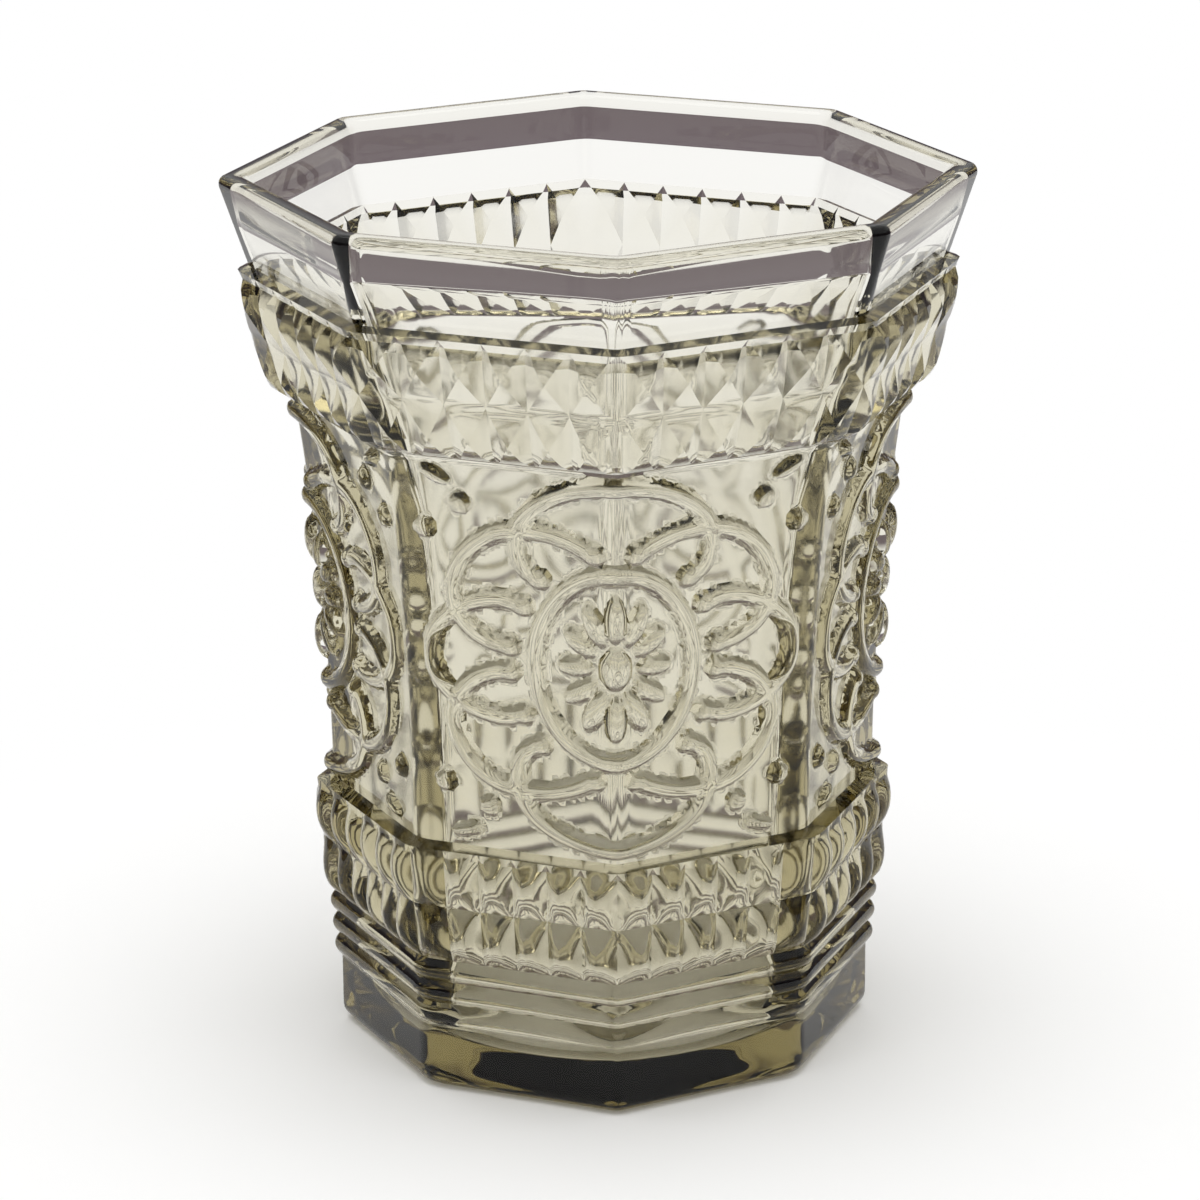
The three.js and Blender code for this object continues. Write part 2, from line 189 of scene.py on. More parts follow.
sine, cosine = quarter_arc(FOOT_ARC_STEPS)
flat_reach = [RECESS_RING, RECESS_REACH - RECESS_SLOPE, RECESS_REACH, STANDING_RING]
under_reach = np.append(flat_reach, FOOT_REACH - FOOT_FILLET + FOOT_FILLET * sine)
under_height = np.append([RECESS_DEPTH, RECESS_DEPTH, 0, 0], FOOT_FILLET - FOOT_FILLET * cosine)
underside = rings(under_reach, under_height, crowded_shares(COARSE),
                  np.minimum(MEDALLION_ROUND, UNDERSIDE_ROUND * under_reach), FOOT_PLAIN_ROUND)

reed = np.linspace(0, REED_COUNT, REED_COUNT * REED_STEPS + 1)[:-1]
reed_bulge = 4 * (reed % 1) * (1 - reed % 1)
reed_reach = (FOOT_REACH + (REED_TOP_REACH - FOOT_REACH) * reed / REED_COUNT
              + REED_RISE * reed_bulge)
band_rows = [FOOT_FILLET + EDGE_ROW, FOOT_TOP / 2, FOOT_TOP - EDGE_ROW, FOOT_TOP - VALLEY_ROW]
foot_height = np.append(band_rows, FOOT_TOP + reed * REED_PITCH)
foot_reach = np.append(np.full(len(band_rows), FOOT_REACH), reed_reach)
foot = rings(foot_reach, foot_height, crowded_shares(MIDDLE), MEDALLION_ROUND,
             plain_round(foot_height))
lower_foot = FOOT_TOP + REED_COUNT * REED_PITCH
print("foot rows:", len(foot_height), "top of reeds:", lower_foot)

# %% [markdown]
# ## Belts of raised cells
# Each belt is two rows of cells, six to a face. In the lower belt a cell is a rounded dome, in the
# upper belt a pyramid with a slightly blunt tip. An array of small bevelled blocks would leave
# seams in the glass, so the height of every point is a formula of its place in its cell, with a
# across and b up, both from -1 to 1. The dome is (1 - a a)(1 - b b), and the pyramid is 1 less the
# larger of |a| and |b|. A roll lifts each row and falls off at the belt's outer edge, as a
# shoulder. The triangles are cut along the pyramids' ridges, which keeps those sharp.

# %% Shape of a belt
CELLS = 6
CELL_STEPS = 8
BELT_COLUMNS = CELLS * CELL_STEPS
SHOULDER_FROM = 0.4
SHOULDER_POWER = 2.0
TIP_BLUNT = 0.1
WHOLE_DIGITS = 9


def roll(up, outward):
    """Height of a roll: 1, less a power of the distance past the start of its outer shoulder."""
    past = np.clip((up * outward - SHOULDER_FROM) / (1 - SHOULDER_FROM), 0, 1)
    return 1 - past ** SHOULDER_POWER


def pyramid(across, up):
    """Height over a cell, from 0 at its edge: one less the larger distance, with a blunt tip."""
    distance = np.maximum(np.abs(across), np.abs(up))
    return math.hypot(1, TIP_BLUNT) - np.hypot(distance, TIP_BLUNT)


def dome(across, up):
    """Height over a cell, from 0 at its edge to 1 at its top: the product of two parabolas."""
    return (1 - across ** 2) * (1 - up ** 2)


def place_in_cell(shares):
    """How far across its cell a share of a face lies, from -1 nearer the medallion to 1."""
    return 2 * np.mod(np.round(np.abs(shares) * CELLS, WHOLE_DIGITS), 1) - 1


def belt(foot_height, row, reaches, roll_rise, cell_rise, cell):
    """Two rows of cells on their rolls, over the straight slopes between three reaches.

    Also tells, for each step of the grid, whether the ridge there runs up to the right."""
    row_share = np.arange(2 * CELL_STEPS + 1) / CELL_STEPS
    height = foot_height + row * row_share
    reach = np.interp(row_share, [0, 1, 2], reaches)
    slopes = np.arctan(np.diff(reaches) / row)
    tilt = slopes[np.minimum(row_share.astype(int), 1)]
    shares = even_shares(BELT_COLUMNS)
    up = 2 * (row_share % 1) - 1
    outward = np.where(row_share < 1, -1, 1)
    lift = roll_rise * roll(up, outward)[:, None]
    lift = lift + cell_rise * cell(place_in_cell(shares)[None], up[:, None])
    points = rings(reach, height, shares, MEDALLION_ROUND, plain_round(height), lift, tilt)
    middle = shares + 0.5 / BELT_COLUMNS
    rightward = np.tile(place_in_cell(middle) * np.sign(middle), 4)
    rising = rightward[None] * (up + 1 / CELL_STEPS)[:-1, None] > 0
    return points, rising, shares


print("cells in a row:", 8 * CELLS, "columns in a belt:", 8 * BELT_COLUMNS)

# %% Lower and upper belt
LOWER_ROW = 7.2
LOWER_MIDDLE_REACH = 33.4
LOWER_TOP_REACH = 34.0
LOWER_ROLL = 0.5
LOWER_DOME = 1.2
LEDGE_TOP = 78.9
UPPER_ROW = 7.6
UPPER_FOOT_REACH = 36.6
UPPER_MIDDLE_REACH = 39.5
RIM_FOOT_REACH = 40.8
UPPER_ROLL = 1.4
UPPER_PYRAMID = 1.15

lower_top = lower_foot + 2 * LOWER_ROW
lower_belt = belt(lower_foot, LOWER_ROW, [REED_TOP_REACH, LOWER_MIDDLE_REACH, LOWER_TOP_REACH],
                  LOWER_ROLL, LOWER_DOME, dome)
upper_top = LEDGE_TOP + 2 * UPPER_ROW
upper_belt = belt(LEDGE_TOP, UPPER_ROW, [UPPER_FOOT_REACH, UPPER_MIDDLE_REACH, RIM_FOOT_REACH],
                  UPPER_ROLL, UPPER_PYRAMID, pyramid)
print("belts:", lower_foot, "to", lower_top, "and", LEDGE_TOP, "to", upper_top)

# %% [markdown]
# ## Medallion
# On the real glass a flower in an oval ring sits among interlaced scrolls, and the whole is folded
# over a corner. Curves with a bevel could draw it flat, but folding them and joining them to the
# wall would be hard. So the ornament is a height over the wall, worked out in millimetres across
# and up from its middle. A scroll is a ribbon round a smooth path: the height of a point depends
# only on its distance to the path. Swellings are half ellipsoids. Where forms meet, the higher one
# shows.

# %% Paths of the scrolls
ARCH_HALF = [(9.0, 10.1), (10.8, 11.2), (11.7, 13.4), (11.5, 16.0), (9.6, 18.9), (5.6, 21.1),
             (0, 22.0)]
SHOULDER = [(2.4, 13.7), (5.6, 15.1), (8.6, 15.8), (11.9, 15.8), (15.2, 14.8), (18.0, 12.3),
            (19.5, 8.8), (19.2, 5.6), (17.4, 3.2), (14.9, 1.9), (12.6, 1.5)]
EAR_HALF = [(11.0, 6.6), (13.7, 7.2), (17.2, 6.5), (20.0, 4.8), (21.8, 2.5), (22.3, 0)]
PATH_STEPS = 8
MIRRORS = [(1, 1), (-1, 1), (1, -1), (-1, -1)]


def smooth_path(points):
    """Catmull-Rom curve through the points: each stretch is a cubic set by the four round it."""
    knots = np.asarray(points, float)
    knots = np.concatenate([[2 * knots[0] - knots[1]], knots, [2 * knots[-1] - knots[-2]]])
    t = (np.arange(PATH_STEPS) / PATH_STEPS)[:, None, None]
    before, start, end, after = knots[:-3], knots[1:-2], knots[2:-1], knots[3:]
    curve = 0.5 * (2 * start + (end - before) * t
                   + (2 * before - 5 * start + 4 * end - after) * t ** 2
                   + (3 * start - before - 3 * end + after) * t ** 3)
    return np.concatenate([curve.transpose(1, 0, 2).reshape(-1, 2), knots[-2:-1]])


def whole(half, axis):
    """A path and its mirror image across one axis, joined at the half's last point."""
    flip = np.ones(2)
    flip[axis] = -1
    half = np.asarray(half, float)
    return np.concatenate([half, half[-2::-1] * flip])


scrolls = [smooth_path(whole(ARCH_HALF, 0)) * (1, side) for side in (1, -1)]
scrolls += [smooth_path(whole(EAR_HALF, 1)) * (side, 1) for side in (1, -1)]
scrolls += [smooth_path(SHOULDER) * mirror for mirror in MIRRORS]
print("scrolls:", len(scrolls), "points:", sum(len(path) for path in scrolls))

# %% Heights of ribbons and swellings
RIBBON_HALF_WIDTH = 1.2
RIBBON_RISE = 1.1
FULLNESS = 0.5


def swell(square, rise):
    """Rise over a form whose edge is where the squared, scaled distance is 1: a full dome."""
    return rise * np.clip(1 - square, 0, None) ** FULLNESS


def ribbon(u, v, path, rise):
    """Rise over a ribbon: a dome of the squared distance to the nearest stretch of its path."""
    start, step = path[:-1], np.diff(path, axis=0)
    from_u, from_v = u[:, None] - start[:, 0], v[:, None] - start[:, 1]
    share = (from_u * step[:, 0] + from_v * step[:, 1]) / (step ** 2).sum(axis=1)
    share = np.clip(share, 0, 1)
    square = (from_u - share * step[:, 0]) ** 2 + (from_v - share * step[:, 1]) ** 2
    return swell(square.min(axis=1) / RIBBON_HALF_WIDTH ** 2, rise)


def ellipsoid(u, v, middle, half, rise, turn=0.0):
    """Rise over half an ellipsoid: a dome of the squared distance, scaled to 1 at its edge."""
    du, dv = u - middle[0], v - middle[1]
    along = du * math.cos(turn) + dv * math.sin(turn)
    across = dv * math.cos(turn) - du * math.sin(turn)
    return swell((along / half[0]) ** 2 + (across / half[1]) ** 2, rise)


print("ribbons are", 2 * RIBBON_HALF_WIDTH, "mm wide and", RIBBON_RISE, "mm high")

# %% Height of the whole ornament
BULB_HALF = (1.35, 1.35)
BULB_RISE = 1.3
RING_HALF = (9.6, 11.4)
RING_STEPS = 96
RING_RISE = 1.0
BOSS_HALF = (2.1, 2.5)
BOSS_RISE = 1.0
PETALS = 12
PETAL_INNER = (2.6, 3.1)
PETAL_OUTER = (7.0, 9.0)
PETAL_HALF_WIDTH = 1.3
PETAL_RISE = 1.3
BEADS = [(18.75, 18.3), (23.0, 15.0), (20.8, -16.0), (15.4, -18.4)]
BEAD_HALF = (1.35, 1.35)
BEAD_RISE = 1.0
LEAVES = [(21.8, 21.6, 0.45), (18.2, -21.6, -0.25)]
LEAF_HALF = (2.2, 0.85)


def flower(u, v):
    """Heights of a boss and of the petals round it, each one along a ray from the middle."""
    layers = [ellipsoid(u, v, (0, 0), BOSS_HALF, BOSS_RISE)]
    for angle in np.arange(PETALS) * 2 * math.pi / PETALS:
        ray = np.array([math.cos(angle), math.sin(angle)])
        inner, outer = ray * PETAL_INNER, ray * PETAL_OUTER
        reach = outer - inner
        half = (np.hypot(*reach) / 2, PETAL_HALF_WIDTH)
        turn = math.atan2(reach[1], reach[0])
        layers.append(ellipsoid(u, v, (inner + outer) / 2, half, PETAL_RISE, turn))
    return layers


def ornament(u, v):
    """Height of the medallion over the wall: the highest of its forms at each place."""
    shape = u.shape
    u, v = u.ravel(), v.ravel()
    layers = [ribbon(u, v, path, RIBBON_RISE) for path in scrolls]
    ends = [path[i] for path in scrolls for i in (0, -1)]
    layers += [ellipsoid(u, v, end, BULB_HALF, BULB_RISE) for end in ends]
    turn = np.linspace(0, 2 * math.pi, RING_STEPS + 1)
    ring = np.stack([RING_HALF[0] * np.cos(turn), RING_HALF[1] * np.sin(turn)], axis=1)
    layers.append(ribbon(u, v, ring, RING_RISE))
    layers += flower(u, v)
    for side in (-1, 1):
        layers += [ellipsoid(side * u, v, bead, BEAD_HALF, BEAD_RISE) for bead in BEADS]
        layers += [ellipsoid(side * u, v, (across, up), LEAF_HALF, BEAD_RISE, turn)
                   for across, up, turn in LEAVES]
    return np.max(layers, axis=0).reshape(shape)


print("petals:", PETALS, "beads:", 2 * len(BEADS), "leaves:", 2 * len(LEAVES))

# %% [markdown]
# ## Wall
# The wall leans outward along a gentle curve, and carries the medallions from edge to edge. It has
# the finest grid on the glass, because the scrolls are only a few steps wide. Each step of the
# grid is cut along the diagonal that changes less in height, so that the ribbons' edges stay
# smooth.

# %% Wall with its medallions
WALL_FOOT_REACH = 32.55
WALL_TOP = 78.3
WALL_TOP_REACH = 36.0
WALL_ROWS = 112
MEDALLION_MIDDLE = 55.1


def wall_path(height):
    """Reach of the wall's corners without ornament: straight below the wall, then a parabola."""
    share = (height - lower_top) / (WALL_TOP - lower_top)
    below = FOOT_REACH + (WALL_FOOT_REACH - FOOT_REACH) * height / lower_top
    curve = WALL_FOOT_REACH + (WALL_TOP_REACH - WALL_FOOT_REACH) * share ** 2
    return np.where(share < 0, below, curve)


wall_height = np.linspace(lower_top, WALL_TOP, WALL_ROWS + 2)[1:]
wall_reach = wall_path(wall_height)
wall_tilt = np.arctan(np.gradient(wall_reach, wall_height))
wall_shares = even_shares(FINE)
across = wall_shares[None] * face_line(wall_reach)[2][:, None]
up = (wall_height - MEDALLION_MIDDLE)[:, None] + 0 * across
relief = ornament(across, up)
wall = rings(wall_reach, wall_height, wall_shares, MEDALLION_ROUND, plain_round(wall_height),
             relief, wall_tilt)
around = np.tile(relief, 4)
right = np.roll(around, -1, axis=1)
wall_rising = np.abs(around[:-1] - right[1:]) < np.abs(right[:-1] - around[1:])
print("wall grid:", wall.shape, "highest relief:", round(float(relief.max()), 3))

# %% [markdown]
# ## Rim
# The rim is plain. It flares outward from the upper belt and ends in a rounded lip, a quarter
# circle outside and another inside, so it is a profile of a few straight rows and an arc.

# %% Rim and lip
RIM_REACH = 44.5
RIM_ROWS = [0.25, 1.5, 4.0, 7.0]
LIP_OUTER_ROUND = 1.3
LIP_ARC_STEPS = 6

flare = (RIM_REACH - RIM_FOOT_REACH) / (LIP_HEIGHT - upper_top)
rim_height = np.append(upper_top + np.array(RIM_ROWS), LIP_HEIGHT - LIP_OUTER_ROUND)
rim_reach = RIM_FOOT_REACH + flare * (rim_height - upper_top)
sine, cosine = quarter_arc(LIP_ARC_STEPS)
lip_height = LIP_HEIGHT - LIP_OUTER_ROUND + LIP_OUTER_ROUND * sine[1:]
lip_reach = (rim_reach[-1] - LIP_OUTER_ROUND + LIP_OUTER_ROUND * cosine[1:]
             + flare * LIP_OUTER_ROUND * sine[1:] / 2)
outer_height = np.append(rim_height, lip_height)
rim = rings(np.append(rim_reach, lip_reach), outer_height, crowded_shares(MIDDLE),
            MEDALLION_ROUND, plain_round(outer_height))
print("rim rows:", len(outer_height), "flare:", round(flare, 3))

# %% [markdown]
# ## Cavity
# The plunger that presses the glass leaves a plain hollow. A short upright band follows the lip,
# then the hollow leans in like a cone until it meets the inside of the wall, which grows thicker
# towards the foot, and it ends in a round floor. A Solidify modifier would give one thickness
# everywhere and press the medallions through to the inside, so the hollow has a profile of its
# own.

# %% Profile of the cavity
LIP_WALL = 3.6
LIP_INNER_ROUND = 1.5
BAND_FOOT = 99.5
BAND_EDGE = 0.2
BAND_ROWS = 4
BAND_LEAN = math.radians(3)
CONE_LEAN = math.radians(21)
CAVITY_WALL_TOP = 5.0
CAVITY_WALL_FOOT = 6.6
CAVITY_ROWS = 34
FLOOR_HEIGHT = 3.8
FLOOR_FILLET = 3.0
FLOOR_RINGS = [16.0, 8.0]

inner_lip = RIM_REACH - LIP_WALL
turn_height = LIP_HEIGHT - LIP_INNER_ROUND + LIP_INNER_ROUND * cosine
band_height = np.linspace(turn_height[-1] - BAND_EDGE, BAND_FOOT + BAND_EDGE, BAND_ROWS)
band_reach = inner_lip - math.tan(BAND_LEAN) * (band_height - BAND_FOOT)
turn_reach = band_reach[0] + LIP_INNER_ROUND - LIP_INNER_ROUND * sine
side_height = np.linspace(BAND_FOOT - BAND_EDGE, FLOOR_HEIGHT + FLOOR_FILLET, CAVITY_ROWS)
cone = inner_lip - math.tan(CONE_LEAN) * (BAND_FOOT - side_height)
thickness = np.interp(side_height, [FLOOR_HEIGHT, WALL_TOP], [CAVITY_WALL_FOOT, CAVITY_WALL_TOP])
side_reach = np.maximum(cone, wall_path(side_height) - thickness)
bowl_reach = side_reach[-1] - FLOOR_FILLET + FLOOR_FILLET * cosine[1:]
bowl_height = FLOOR_HEIGHT + FLOOR_FILLET - FLOOR_FILLET * sine[1:]
inner_reach = np.concatenate([turn_reach, band_reach, side_reach, bowl_reach, FLOOR_RINGS])
inner_height = np.concatenate([turn_height, band_height, side_height, bowl_height,
                               np.full(len(FLOOR_RINGS), FLOOR_HEIGHT)])
print("cavity rows:", len(inner_height), "narrowest reach:", round(float(side_reach.min()), 2))

# %% [markdown]
# Near its floor the hollow turns from an octagon into a circle. The same plan does it: the radius
# of each corner grows until the arcs of neighbouring corners meet. The pressed inside is also a
# little duller than the outside, and each point carries how dull it is, for the material to read.

# %% Corners and dullness of the cavity
CAVITY_MEDALLION_ROUND = 2.0
CAVITY_PLAIN_ROUND = 1.2
ROUND_FROM = 8.0
NEARLY = 0.999
INSIDE_CROWD = 0.6
DULL_HEIGHTS = [8.0, 14.0, 92.0, 98.0]
DULL_SHARES = [0, 1, 1, 0]


def full_round(reach):
    """Radius at which the arcs of neighbouring corners meet, so that the octagon is a circle."""
    _, _, length, lean = face_line(reach)
    return length / (np.tan(lean) + np.tan(EIGHTH - lean))


fillet_top = FLOOR_HEIGHT + FLOOR_FILLET
roundness = np.clip((ROUND_FROM - inner_height) / (ROUND_FROM - fillet_top), 0, 1)
circle = NEARLY * full_round(inner_reach)
inner_medallion = CAVITY_MEDALLION_ROUND + (circle - CAVITY_MEDALLION_ROUND) * roundness
inner_plain = CAVITY_PLAIN_ROUND + (circle - CAVITY_PLAIN_ROUND) * roundness
inner_shares = crowded_shares(COARSE, INSIDE_CROWD)
inside = rings(inner_reach, inner_height, inner_shares, inner_medallion, inner_plain)
inside_dull = np.interp(inside[..., 2], DULL_HEIGHTS, DULL_SHARES)
print("inside grid:", inside.shape, "dull points:", int((inside_dull > 0).sum()))

# %% [markdown]
# ## One closed mesh
# Light bends rightly in glass only if the mesh is closed and has one skin. So the bands are
# stacked from the middle of the underside up the outside, over the lip and down to the middle of
# the cavity's floor. Two bands meet in a zip of triangles, whatever the number of their points,
# and a fan closes each end. Joining the bands with a Boolean would be slower and could leave
# cracks.

# %% Triangles between rings
def grid_faces(ids, rising=None):
    """Two triangles for each step of a closed grid, cut along the diagonal that follows a ridge."""
    a, b = ids[:-1], np.roll(ids, -1, axis=1)[:-1]
    d, c = ids[1:], np.roll(ids, -1, axis=1)[1:]
    rising = np.ones(a.shape, bool) if rising is None else rising
    one = np.where(rising[..., None], np.stack([a, b, c], -1), np.stack([a, b, d], -1))
    two = np.where(rising[..., None], np.stack([a, c, d], -1), np.stack([b, c, d], -1))
    return np.concatenate([one.reshape(-1, 3), two.reshape(-1, 3)])


def steps_round(shares):
    """How far round the glass each step of a ring ends, in quarter turns: 4 closes the ring."""
    return np.append((np.arange(4)[:, None] + (1 + shares[None]) / 2).ravel()[1:], 4.0)


def zip_faces(low, high, low_shares, high_shares):
    """Triangles between two closed rings: the ring whose next point is nearer takes a step."""
    place = np.concatenate([steps_round(low_shares), steps_round(high_shares)])
    on_low = np.arange(len(place)) < len(low)
    on_low = on_low[np.argsort(place, kind="stable")]
    here = (np.cumsum(on_low) - on_low) % len(low)
    there = (np.cumsum(~on_low) - ~on_low) % len(high)
    step = np.where(on_low, np.roll(low, -1)[here], np.roll(high, -1)[there])
    return np.stack([low[here], step, high[there]], -1)


def fan_faces(pole, ring):
    """Triangles from a pole to each step of a closed ring."""
    return np.stack([np.full(len(ring), pole), ring, np.roll(ring, -1)], -1)


bands = {"underside": (underside, None, crowded_shares(COARSE)),
         "foot": (foot, None, crowded_shares(MIDDLE)),
         "lower belt": lower_belt,
         "wall": (wall, wall_rising, wall_shares),
         "upper belt": upper_belt,
         "rim": (rim, None, crowded_shares(MIDDLE)),
         "inside": (inside, None, inner_shares)}
print("bands:", {name: band[0].shape[:2] for name, band in bands.items()})

# %% Stack the bands into a mesh
points, faces, ids = [np.array([[0, 0, RECESS_DEPTH]])], [], {}
first = 1
for name, (band, rising, shares) in bands.items():
    rows, columns = band.shape[:2]
    ids[name] = first + np.arange(rows * columns).reshape(rows, columns)
    points.append(band.reshape(-1, 3))
    faces.append(grid_faces(ids[name], rising))
    first += rows * columns
points.append(np.array([[0, 0, FLOOR_HEIGHT]]))
order = list(bands)
for low, high in zip(order[:-1], order[1:]):
    faces.append(zip_faces(ids[low][-1], ids[high][0], bands[low][2], bands[high][2]))
faces.append(fan_faces(0, ids["underside"][0])[:, ::-1])
faces.append(fan_faces(first, ids["inside"][-1]))
points, faces = np.concatenate(points), np.concatenate(faces)
dull = np.zeros(len(points))
dull[ids["inside"]] = inside_dull

mesh = bpy.data.meshes.new("pressed_glass")
mesh.from_pydata((points * MM).tolist(), [], faces.tolist())
mesh.polygons.foreach_set("use_smooth", np.ones(len(faces), bool))
mesh.attributes.new("dull", "FLOAT", "POINT").data.foreach_set("value", dull)
print("glass triangles:", len(faces), "points:", len(points))

# %% [markdown]
# Pressed glass is smooth, but the ridges of its cells are crisp. Smooth shading would round them
# off and flat shading would facet the scrolls, so only edges past an angle are marked sharp, and
# the angle is smaller on the belts.

# %% Sharp edges, and the finished piece
EDGE_ANGLE = 48
RIDGE_ANGLE = 20


def sharp_edges(angle):
    """Which edges of the mesh are sharper than an angle in degrees."""
    mesh.set_sharp_from_angle(angle=math.radians(angle))
    sharp = np.zeros(len(mesh.edges), bool)
    mesh.attributes["sharp_edge"].data.foreach_get("value", sharp)
    return sharp


edge_ends = np.empty(2 * len(mesh.edges), np.int32)
mesh.edges.foreach_get("vertices", edge_ends)
belt_ids = np.concatenate([ids["lower belt"].ravel(), ids["upper belt"].ravel()])
on_belt = np.isin(edge_ends, belt_ids).reshape(-1, 2).all(axis=1)
sharp = np.where(on_belt, sharp_edges(RIDGE_ANGLE), sharp_edges(EDGE_ANGLE))
mesh.attributes["sharp_edge"].data.foreach_set("value", sharp)
mesh.update()
glass = bpy.data.objects.new("pressed_glass", mesh)
bpy.context.scene.collection.objects.link(glass)
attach(glass, "root")
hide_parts("tumbler")
print("sharp edges:", int(sharp.sum()), "of", len(sharp))

# %% [markdown]
# ## Shader maths as expressions
# A material is a tree of nodes, and wiring it line by line hides what it computes. So a small
# class wraps a socket: adding or multiplying two of them adds a Math node, and one method makes
# any other node from its type, its settings and what goes into its sockets.

# %% A socket that takes part in expressions
def feed(tree, node, inputs):
    """Fills the sockets of a node: a Wire is linked, and any other value is written."""
    for name, value in inputs.items():
        if isinstance(value, Wire):
            tree.links.new(value.socket, node.inputs[name])
        else:
            node.inputs[name].default_value = value


class Wire:
    """A socket that takes part in Python expressions: each operator adds a Math node."""

    def __init__(self, tree, socket):
        self.tree, self.socket = tree, socket

    def node(self, kind, settings, inputs, output=0):
        """Any other node: its settings are set first, then the values or links of its sockets."""
        made = self.tree.nodes.new(kind)
        for name, value in settings.items():
            setattr(made, name, value)
        feed(self.tree, made, inputs)
        return Wire(self.tree, made.outputs[output])

    def math(self, operation, other):
        """A Math node of this socket and another socket or number."""
        return self.node("ShaderNodeMath", {"operation": operation}, {0: self, 1: other})

    def __add__(self, other):
        return self.math("ADD", other)

    def __mul__(self, other):
        return self.math("MULTIPLY", other)

    __radd__, __rmul__ = __add__, __mul__


def coordinates(tree, kind="Object"):
    """Where a point lies, as the start of a material's expressions."""
    return Wire(tree, tree.nodes.new("ShaderNodeTexCoord").outputs[kind])


print("operators of a wire: + and *, either way round")

# %% [markdown]
# ## Glass
# The colour of smoked glass is in its depth, not on its skin: thin walls look pale cream and the
# thick foot nearly black. So the shader is clear, and a plain absorption inside the mesh takes a
# little of each colour away for every millimetre, a little more of the blue. A tinted surface
# would look the same thick or thin. Pressed glass is never quite even: one noise waves its skin by
# hundredths of a millimetre, a broader one leaves faint smears in the gloss, and the inside is a
# little duller all over.

# %% Material of the glass
CLEAR = (1, 1, 1, 1)
GLASS_INDEX = 1.52
SURFACE_GLOSS = (0.5, 0.5, 0.5, 1)
KEPT_PER_MM = np.array([0.972, 0.968, 0.950])
DENSITY = 65.0
WAVE_SCALE = 90.0
WAVE_DETAIL = 1.0
WAVE_DEPTH = 0.00003
SMEAR_SCALE = 45.0
SMEAR_DETAIL = 3.0
SMEAR_ROUGHNESS = 0.03
DULL_ROUGHNESS = 0.08

material = bpy.data.materials.new("smoked_glass")
material.use_nodes = True
tree = material.node_tree
spot = coordinates(tree)
waves = spot.node("ShaderNodeTexNoise", {},
                  {"Vector": spot, "Scale": WAVE_SCALE, "Detail": WAVE_DETAIL}, "Fac")
wavy = spot.node("ShaderNodeBump", {},
                 {"Height": waves, "Strength": 1.0, "Distance": WAVE_DEPTH}, "Normal")
smears = spot.node("ShaderNodeTexNoise", {},
                   {"Vector": spot, "Scale": SMEAR_SCALE, "Detail": SMEAR_DETAIL}, "Fac")
dulled = spot.node("ShaderNodeAttribute", {"attribute_name": "dull"}, {}, "Fac")
feed(tree, tree.nodes["Principled BSDF"], {
    "Base Color": CLEAR,
    "IOR": GLASS_INDEX,
    "Transmission Weight": 1.0,
    "Specular Tint": SURFACE_GLOSS,
    "Roughness": smears * SMEAR_ROUGHNESS + dulled * DULL_ROUGHNESS,
    "Normal": wavy})
taken = -np.log(KEPT_PER_MM) / MM / DENSITY
smoke = spot.node("ShaderNodeVolumeAbsorption", {},
                  {"Color": (*(1 - taken), 1), "Density": DENSITY}, "Volume")
feed(tree, tree.nodes["Material Output"], {"Volume": smoke})
mesh.materials.append(material)
print("absorption colour:", np.round(1 - taken, 3))

# %% [markdown]
# ## Table
# The glass stands on a wide white table. A lamp strong enough to make the table white would also
# flood the glass, so away from the foot the table shows plain white to the camera, and to rays
# that glass reflects or bends, by an Emission of strength 1. Near the foot it is an ordinary matt
# white, which keeps the shadow.

# %% White table
TABLE_RADIUS = 0.75
TABLE_STEPS = 96
TABLE_DROP = 0.0002
TABLE_WHITE = (0.97, 0.97, 0.97, 1)
GLOW_FROM = 0.03
GLOW_FULL = 0.13
SHOWN_TO = ("Is Camera Ray", "Is Glossy Ray", "Is Transmission Ray")

turn = np.linspace(0, 2 * math.pi, TABLE_STEPS, endpoint=False)
table_points = np.stack([TABLE_RADIUS * np.cos(turn), TABLE_RADIUS * np.sin(turn),
                         np.full(TABLE_STEPS, -TABLE_DROP)], -1)
table_mesh = bpy.data.meshes.new("table")
table_mesh.from_pydata(table_points.tolist(), [], [list(range(TABLE_STEPS))])
table = bpy.data.objects.new("table", table_mesh)
bpy.context.scene.collection.objects.link(table)

paper = bpy.data.materials.new("white_table")
paper.use_nodes = True
tree = paper.node_tree
matt = tree.nodes["Principled BSDF"]
feed(tree, matt, {"Base Color": TABLE_WHITE, "Roughness": 1.0, "Specular IOR Level": 0.0})
spot = coordinates(tree)
seen = sum(spot.node("ShaderNodeLightPath", {}, {}, kind) for kind in SHOWN_TO)
away = spot.node("ShaderNodeVectorMath", {"operation": "LENGTH"}, {0: spot}, "Value")
clear = spot.node("ShaderNodeMapRange", {"interpolation_type": "SMOOTHSTEP"},
                  {"Value": away, "From Min": GLOW_FROM, "From Max": GLOW_FULL})
white = spot.node("ShaderNodeEmission", {}, {"Strength": 1.0}, "Emission")
mixed = spot.node("ShaderNodeMixShader", {}, {0: seen.math("MINIMUM", 1.0) * clear,
                                              1: Wire(tree, matt.outputs["BSDF"]),
                                              2: white}, "Shader")
feed(tree, tree.nodes["Material Output"], {"Surface": mixed})
table_mesh.materials.append(paper)
print("table radius:", TABLE_RADIUS, "white from", GLOW_FULL, "m outward")

# %% [markdown]
# ## Lamp and room
# One large soft lamp hangs above. The room is a plain grey at eye level, with a white tent
# overhead and a white floor below the table. Glass shows what is round it: rays bent downward meet
# the bright table, and rays bent towards the horizon meet the grey room, which is where the grey
# strips in the rim come from.

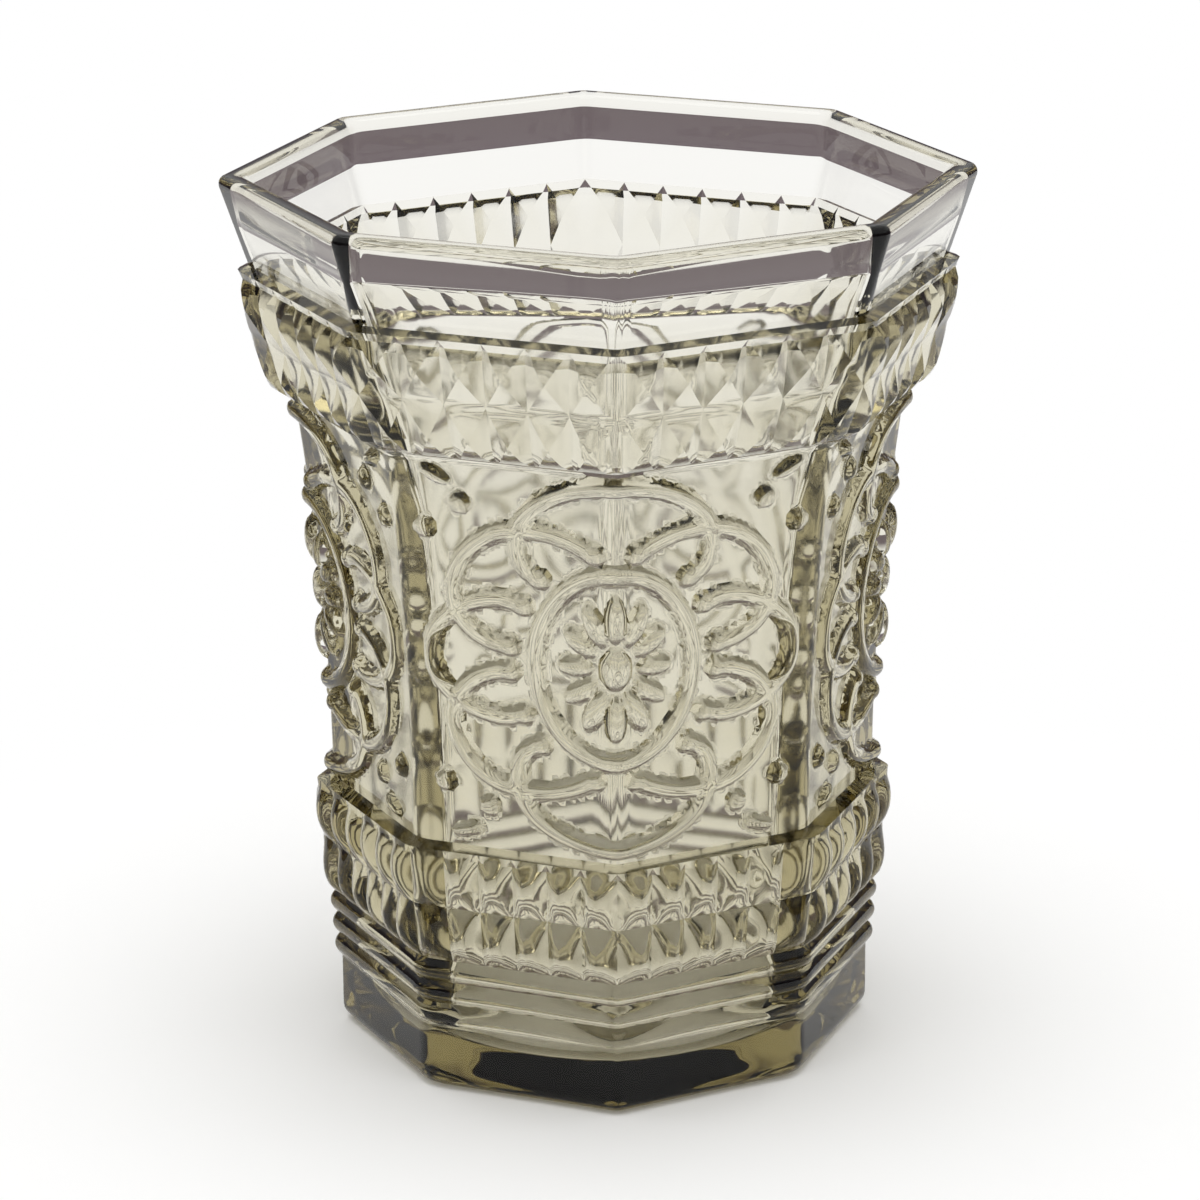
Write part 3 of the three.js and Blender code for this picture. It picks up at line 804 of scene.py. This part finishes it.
# %% Lamp and room
LAMP_HEIGHT = 1.4
LAMP_SIZE = 1.2
LAMP_FORWARD = 0.1
LAMP_POWER = 7.5
ROOM_GREY = (0.165, 0.134, 0.148, 1)
TENT_WHITE = (0.85, 0.85, 0.84, 1)
TENT_FOOT = math.radians(6)
TENT_FULL = math.radians(24)
LOW_FLOOR_WHITE = (1, 1, 1, 1)
LOW_FLOOR_FULL = math.radians(-7.9)
LOW_FLOOR_EDGE = math.radians(-7.7)

lamp_data = bpy.data.lights.new("soft_lamp", "AREA")
lamp_data.size = LAMP_SIZE
lamp_data.energy = LAMP_POWER
lamp = bpy.data.objects.new("soft_lamp", lamp_data)
lamp.location = (0, -LAMP_FORWARD, LAMP_HEIGHT)
bpy.context.scene.collection.objects.link(lamp)

world = bpy.data.worlds.new("room")
world.use_nodes = True
tree = world.node_tree
look = coordinates(tree, "Generated")
upward = look.node("ShaderNodeSeparateXYZ", {}, {"Vector": look}, "Z")
tent = look.node("ShaderNodeMapRange", {"interpolation_type": "SMOOTHSTEP"},
                 {"Value": upward, "From Min": math.sin(TENT_FOOT),
                  "From Max": math.sin(TENT_FULL)})
sky = look.node("ShaderNodeMix", {"data_type": "RGBA"},
                {"Factor": tent, "A": ROOM_GREY, "B": TENT_WHITE}, "Result")
above = look.node("ShaderNodeMapRange", {},
                  {"Value": upward, "From Min": math.sin(LOW_FLOOR_FULL),
                   "From Max": math.sin(LOW_FLOOR_EDGE)})
studio = look.node("ShaderNodeMix", {"data_type": "RGBA"},
                   {"Factor": above, "A": LOW_FLOOR_WHITE, "B": sky}, "Result")
feed(tree, tree.nodes["Background"], {"Color": studio})
bpy.context.scene.world = world
bpy.context.scene.view_settings.view_transform = "Standard"
print("lamp power:", LAMP_POWER, "W,", LAMP_HEIGHT, "m up")

# %% [markdown]
# ## Camera
# The camera stands where the photographer's did: a little above the rim, almost square to one
# medallion, with a long lens. Its place was worked out from the eight corners of the rim and foot.

# %% Camera
CAMERA_YAW = math.radians(2.4756)
CAMERA_RISE = math.radians(17.9951)
CAMERA_ROLL = math.radians(-0.409)
CAMERA_DISTANCE = 583.4
AIM_SIDE = -0.25
AIM_HEIGHT = 52.61
LENS = 147.17
SENSOR = 36.0

spin = Matrix.Rotation(-CAMERA_YAW, 4, "Z")
stand = Vector((AIM_SIDE, -CAMERA_DISTANCE * math.cos(CAMERA_RISE),
                AIM_HEIGHT + CAMERA_DISTANCE * math.sin(CAMERA_RISE))) * MM
camera_data = bpy.data.cameras.new("camera")
camera_data.lens = LENS
camera_data.sensor_width = SENSOR
camera = bpy.data.objects.new("camera", camera_data)
camera.matrix_world = (Matrix.Translation(spin @ stand) @ spin
                       @ Matrix.Rotation(math.pi / 2 - CAMERA_RISE, 4, "X")
                       @ Matrix.Rotation(CAMERA_ROLL, 4, "Z"))
bpy.context.scene.collection.objects.link(camera)
bpy.context.scene.camera = camera
print("camera at", [round(value, 4) for value in camera.matrix_world.translation])
